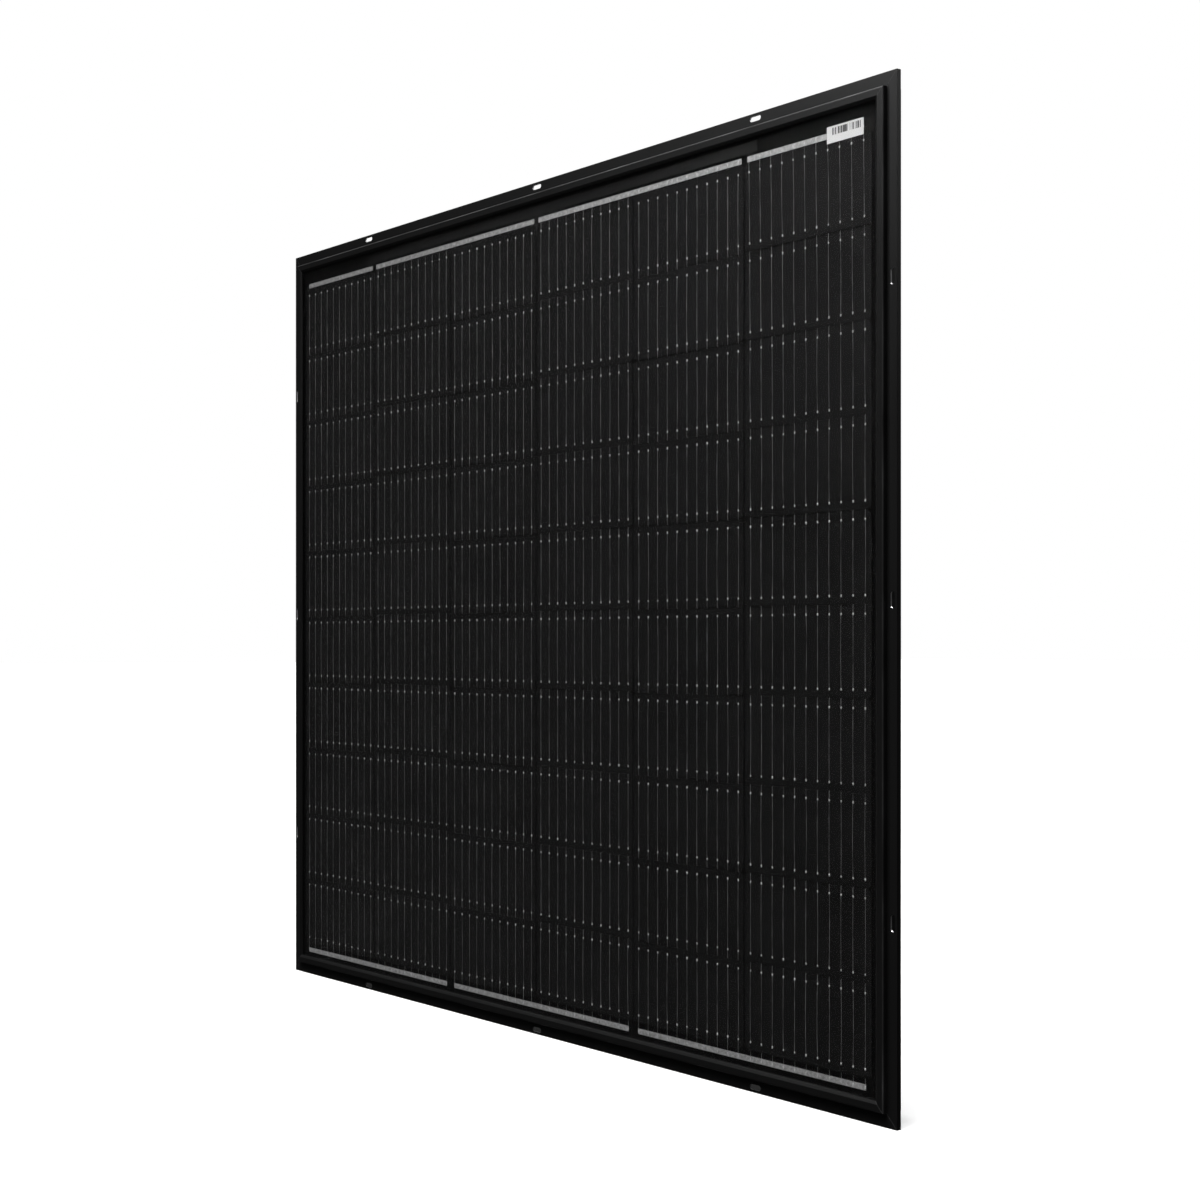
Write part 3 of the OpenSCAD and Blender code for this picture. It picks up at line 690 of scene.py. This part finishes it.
wires_x = {}
for string in range(1, 7):
    low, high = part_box(f"wires_{string}")
    pitch = (high.x - low.x - 0.26 * MM) / (WIRES - 1)
    wires_x[string] = [low.x + 0.13 * MM + index * pitch for index in range(WIRES)]
    runs_down = string % 2 == 1
    way = -1 if runs_down else 1
    top = cell_high.z if runs_down else cell_low.z
    first = abs((high.z if runs_down else low.z) - top)
    last = abs((low.z if runs_down else high.z) - top)
    whole = bmesh.new()
    for x in wires_x[string]:
        wire = bmesh.new()
        end = CELL_H - WIRE_START
        tube(wire, [(x, REAR_Y, top - way * first), (x, REAR_Y, top + way * end)], WIRE_R)
        for row in range(ROWS - 1):
            s = row * ROW_PITCH
            points = bowed(x, s + WIRE_START, s + CELL_H - 0.1 * MM, way, top, FRONT_Y)
            points.append((x, REAR_Y, top + way * (s + ROW_PITCH + 0.1 * MM)))
            points.append((x, REAR_Y, top + way * (s + ROW_PITCH + end)))
            tube(wire, points, WIRE_R)
        s = (ROWS - 1) * ROW_PITCH
        points = bowed(x, s + WIRE_START, s + CELL_H, way, top, FRONT_Y)
        points.append((x, FRONT_Y, top + way * last))
        tube(wire, points, WIRE_R)
        for vert in wire.verts:
            vert.co.x += crook(string, vert.co.z)
        merge(whole, wire)
    piece(whole, f"round_wires_{string}", wire_metal, smooth=80, replaces=[f"wires_{string}"])


# %% [markdown]
# Every wire is soldered to a pad near each end of a cell, which shows as a bright bead. Where a
# wire meets a ribbon, the solder lies across the ribbon as a low lump. Each is a squashed ball of
# few faces, because there are well over a thousand.

# %% Solder beads and lumps
PAD_IN = 8.5 * MM
PAD_SIZE = Vector((1.0, 0.34, 1.5)) * MM


def lump(bm, place, size, lean=0.0):
    shape = Matrix.LocRotScale(place, Matrix.Rotation(lean, 3, "Y"), size)
    bmesh.ops.create_uvsphere(bm, u_segments=8, v_segments=4, radius=1.0, matrix=shape)


random.seed(5)
for string in range(1, 7):
    whole = bmesh.new()
    for x in wires_x[string]:
        bm = bmesh.new()
        for row in range(ROWS):
            for end in (PAD_IN, CELL_H - PAD_IN):
                size = PAD_SIZE * random.uniform(0.9, 1.15)
                z = cell_high.z - row * ROW_PITCH - end
                spot = (x + crook(string, z), cell_low.y + HAIR, z)
                lump(bm, spot, size, random.uniform(-0.2, 0.2))
        merge(whole, bm)
    piece(whole, f"solder_beads_{string}", solder, smooth=80)

for end, count in (("top", 4), ("bottom", 3)):
    bm = bmesh.new()
    for index in range(1, count + 1):
        low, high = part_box(f"ribbon_{end}_{index}")
        for x in [x for string in wires_x.values() for x in string if low.x < x < high.x]:
            size = Vector((random.uniform(0.7, 1.1), 0.16, random.uniform(1.7, 2.5))) * MM
            z = (low.z + high.z) / 2
            spot = (x + crook(index + 2 if end == "top" else 0, z), low.y, z)
            lump(bm, spot, size, random.uniform(-0.15, 0.15))
    piece(bm, f"ribbon_solder_{end}", solder, smooth=80)


# %% [markdown]
# The last string sits a little to the left at its top, so the ribbon there stops short with it.
# Small flaps of film cover the place where each lead turns up from a ribbon.

# %% Short ribbon and film flaps
low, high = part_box("ribbon_top_4")
bm = bmesh.new()
block(bm, low, (high.x - 3 * MM, high.y, high.z), 0.04 * MM, 1)
piece(bm, "short_ribbon", ribbon_metal, smooth=20, replaces=["ribbon_top_4"])

strip_low, strip_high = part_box("insulation_strip")
bm = bmesh.new()
for x in (-375.4, -11, 11, 375.4):
    block(bm, ((x - 4.5) * MM, strip_low.y + HAIR, high.z - 0.1 * MM),
          ((x + 4.5) * MM, strip_high.y - HAIR, strip_low.z - HAIR), 0.03 * MM, 1)
piece(bm, "film_flaps", tape, smooth=20)

# %% [markdown]
# Silicone shows as a thin bead where the glass meets the frame, and as a wider fillet behind. Both
# are one section carried round the panel, mitred at the corners, with a little unevenness left by
# the nozzle. Rings of points at stations along the way are bridged one to the next.

# %% Silicone beads round the laminate
def ring_of(bm, points):
    verts = [bmesh.ops.create_vert(bm, co=point)["vert"][0] for point in points]
    return [bm.edges.new((a, b)) for a, b in zip(verts, verts[1:] + verts[:1])]


def closed_sweep(bm, rings):
    loops = [ring_of(bm, ring) for ring in rings]
    for one, other in zip(loops, loops[1:] + loops[:1]):
        bmesh.ops.bridge_loops(bm, edges=one + other)


def rim_stations(section, spacing, uneven):
    """Rings of a section given as distance in from the panel's edge and depth behind its face."""
    rings = []
    corners = [(-1, -1), (1, -1), (1, 1), (-1, 1)]
    for (ax, az), (bx, bz) in zip(corners, corners[1:] + corners[:1]):
        count = round(2 * (HALF_W if ax != bx else HALF_H) / spacing)
        for step in range(count):
            t = step / count
            swell = random.uniform(-uneven, uneven) if step else 0.0
            sx, sz = ax + (bx - ax) * t, az + (bz - az) * t
            rings.append([
                (sx * (HALF_W - u * MM - swell * free), cad_low.y + (d + 0.5 * swell / MM * free) * MM,
                 sz * (HALF_H - u * MM - swell * free))
                for u, d, free in section
            ])
    return rings


random.seed(23)
front_section = [(23.7, 1.85, 0), (24.45, 1.82, 0), (24.9, 2.05, 0.5), (25.5, 2.38, 1), (23.7, 2.38, 0)]
bm = bmesh.new()
closed_sweep(bm, rim_stations(front_section, 60 * MM, 0.1 * MM))
piece(bm, "front_silicone_bead", silicone)

rear_section = [
    (23.7, 7.36, 0), (30.0, 7.36, 0.6), (28.4, 8.1, 1), (27.2, 9.3, 1), (26.08, 11.2, 0),
    (26.08, 7.86, 0), (23.7, 7.86, 0),
]
bm = bmesh.new()
closed_sweep(bm, rim_stations(rear_section, 25 * MM, 0.35 * MM))
piece(bm, "rear_silicone_fillet", silicone)

# %% [markdown]
# The backsheet is pressed over the cells in the oven, so it sinks a little into every gap between
# them; its rise over the ribbons is left out. A flat sheet is cut along those lines with
# bisect_plane, the middle of each gap is pushed in, and the sheet is then given its thickness. The
# window that the leads come through is left open.

# %% Pressed backsheet
SINK = 0.09 * MM
GAP_HALF = 1.6 * MM
low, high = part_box("backsheet")
field_low, field_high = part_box("cell_string_1")[0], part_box("cell_string_6")[1]
gap_x = [field_low.x - 1 * MM + index * 184 * MM for index in range(7)]
gap_z = [field_high.z + 0.5 * MM - index * ROW_PITCH for index in range(ROWS + 1)]
WINDOW_HALF_W = 42 * MM
window_low = HALF_H - 62.5 * MM
window_high = HALF_H - 57.5 * MM

bm = bmesh.new()
upright = Matrix.Rotation(math.radians(90), 3, "X")
middle = (0, high.y, (low.z + high.z) / 2)
bmesh.ops.create_grid(
    bm, x_segments=1, y_segments=1, size=0.5,
    matrix=Matrix.LocRotScale(middle, upright, (2 * high.x, high.z - low.z, 1)),
)


def cut_sheet(axis, value):
    normal = (1, 0, 0) if axis == 0 else (0, 0, 1)
    spot = (value, 0, 0) if axis == 0 else (0, 0, value)
    geom = bm.verts[:] + bm.edges[:] + bm.faces[:]
    bmesh.ops.bisect_plane(bm, geom=geom, dist=0.000001, plane_co=spot, plane_no=normal)


for axis, gaps in ((0, gap_x), (2, gap_z)):
    for gap in gaps:
        for offset in (-GAP_HALF, 0, GAP_HALF):
            cut_sheet(axis, gap + offset)
for vert in bm.verts:
    near = any(abs(vert.co.x - gap) < HAIR for gap in gap_x) and field_low.z < vert.co.z < field_high.z
    near = near or (any(abs(vert.co.z - gap) < HAIR for gap in gap_z) and abs(vert.co.x) < field_high.x)
    if near:
        vert.co.y -= SINK
for axis, limits in ((0, (-WINDOW_HALF_W, WINDOW_HALF_W)), (2, (window_low, window_high))):
    for limit in limits:
        cut_sheet(axis, limit)
gone = [
    face for face in bm.faces
    if abs(face.calc_center_median().x) < WINDOW_HALF_W
    and window_low < face.calc_center_median().z < window_high
]
bmesh.ops.delete(bm, geom=gone, context="FACES")
made = bmesh.ops.extrude_face_region(bm, geom=bm.faces[:])["geom"]
front = [item for item in made if isinstance(item, bmesh.types.BMVert)]
for vert in front:
    vert.co.y = low.y + HAIR
piece(bm, "pressed_backsheet", sheet, smooth=20, replaces=["backsheet"])

# %% [markdown]
# The junction box is moulded, so its lid has a raised border and stiffening ribs, and its sides
# have catches that hold the lid. The lid's mouldings move with the lid, and everything here keeps
# within the depth of the frame.

# %% Moulded box details
lid_low, lid_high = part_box("junction_box_lid")
base_low, base_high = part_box("junction_box_base")
centre_z = (lid_low.z + lid_high.z) / 2
LID_Y = lid_high.y

bm = bmesh.new()
for half_w, half_h, w in ((51.5, 26.5, 1.4), (47.0, 22.0, 0.7)):
    for side in (-1, 1):
        x, z = side * half_w * MM, centre_z + side * half_h * MM
        block(bm, (-half_w * MM, LID_Y - 0.3 * MM, z - w / 2 * MM),
              (half_w * MM, LID_Y + 0.5 * MM, z + w / 2 * MM), 0.25 * MM)
        block(bm, (x - w / 2 * MM, LID_Y - 0.3 * MM, centre_z - half_h * MM),
              (x + w / 2 * MM, LID_Y + 0.5 * MM, centre_z + half_h * MM), 0.25 * MM)
for rib in range(-4, 5):
    x = rib * 9 * MM
    block(bm, (x - 0.6 * MM, LID_Y - 0.3 * MM, centre_z - 17 * MM),
          (x + 0.6 * MM, LID_Y + 0.45 * MM, centre_z + 17 * MM), 0.25 * MM)
piece(bm, "lid_mouldings", moulded, body="junction_box_lid", smooth=30)

bm = bmesh.new()
for side in (-1, 1):
    for z in (-16, 16):
        x = side * base_high.x
        low_x, high_x = sorted((x - side * 0.3 * MM, x + side * 1.2 * MM))
        z = centre_z + z * MM
        block(bm, (low_x, base_high.y - 6 * MM, z - 4 * MM),
              (high_x, base_high.y - 0.4 * MM, z + 4 * MM), 0.4 * MM)
    for rib in range(-2, 3):
        x = side * base_high.x
        low_x, high_x = sorted((x - side * 0.3 * MM, x + side * 0.6 * MM))
        z = centre_z + rib * 3.2 * MM
        block(bm, (low_x, base_low.y + 1 * MM, z - 0.5 * MM),
              (high_x, base_high.y - 3 * MM, z + 0.5 * MM), 0.2 * MM)
for rib in range(-6, 7):
    x = rib * 6.4 * MM
    block(bm, (x - 0.5 * MM, base_low.y + 1 * MM, base_high.z - 0.3 * MM),
          (x + 0.5 * MM, base_high.y - 3 * MM, base_high.z + 0.6 * MM), 0.2 * MM)
piece(bm, "box_side_mouldings", moulded, smooth=30)

# %% [markdown]
# The silicone that holds the box squeezes out all round when it's pressed on. It's a low bead
# that wanders a little, made the same way as the beads round the glass.

# %% Silicone squeezed out round the box
random.seed(31)
BEAD_W = 2.4 * MM
rings = []
half_w, half_h, corner = 55 * MM, 30 * MM, 4 * MM
for quarter, (sx, sz) in enumerate(((1, 1), (-1, 1), (-1, -1), (1, -1))):
    for step in range(5):
        angle = math.radians(90 * quarter + 22.5 * step)
        out_x, out_z = math.cos(angle), math.sin(angle)
        x = sx * (half_w - corner) + out_x * corner
        z = centre_z + sz * (half_h - corner) + out_z * corner
        w = BEAD_W * random.uniform(0.75, 1.15)
        rings.append([
            (x - out_x * 1.5 * MM, base_low.y - 0.78 * MM, z - out_z * 1.5 * MM),
            (x + out_x * w, base_low.y - 0.78 * MM, z + out_z * w),
            (x + out_x * w * 0.8, base_low.y - 0.2 * MM, z + out_z * w * 0.8),
            (x + out_x * w * 0.3, base_low.y + 0.7 * MM, z + out_z * w * 0.3),
            (x - out_x * 0.2 * MM, base_low.y + 1.3 * MM, z - out_z * 0.2 * MM),
            (x - out_x * 1.5 * MM, base_low.y + 1.3 * MM, z - out_z * 1.5 * MM),
        ])
bm = bmesh.new()
closed_sweep(bm, rings)
piece(bm, "box_silicone_bead", silicone, smooth=60)

# %% [markdown]
# A gland nut is turned by hand, so it is domed at its mouth and fluted for grip. Its section is
# spun round in steps, and every other step of the widest part is drawn inwards to make the flutes.

# %% Fluted gland nuts
FLUTES = 24
NUT_PROFILE = [
    (3.4, 0), (5.2, 0), (6.6, 1.2), (7.1, 2.6), (7.1, 10.6), (6.7, 11.4),
    (5.2, 11.4), (5.2, 2), (3.4, 2),
]
for side in ("left", "right"):
    low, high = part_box(f"gland_nut_{side}")
    middle = ((low.x + high.x) / 2, (low.y + high.y) / 2, low.z)
    bm = bmesh.new()
    edges = ring_of(bm, [
        (middle[0] + r * MM, middle[1], middle[2] + z * MM) for r, z in NUT_PROFILE
    ])
    bmesh.ops.spin(
        bm, geom=edges + bm.verts[:], cent=middle, axis=(0, 0, 1),
        angle=math.radians(360), steps=2 * FLUTES, use_duplicate=False, use_merge=True,
    )
    for vert in bm.verts:
        out = Vector((vert.co.x - middle[0], vert.co.y - middle[1]))
        if out.length > 7.0 * MM:
            step = round(math.atan2(out.y, out.x) / math.radians(180 / FLUTES))
            if step % 2:
                out = out.normalized() * 6.6 * MM
                vert.co.x, vert.co.y = middle[0] + out.x, middle[1] + out.y
    piece(bm, f"fluted_nut_{side}", moulded, smooth=25, replaces=[f"gland_nut_{side}"])
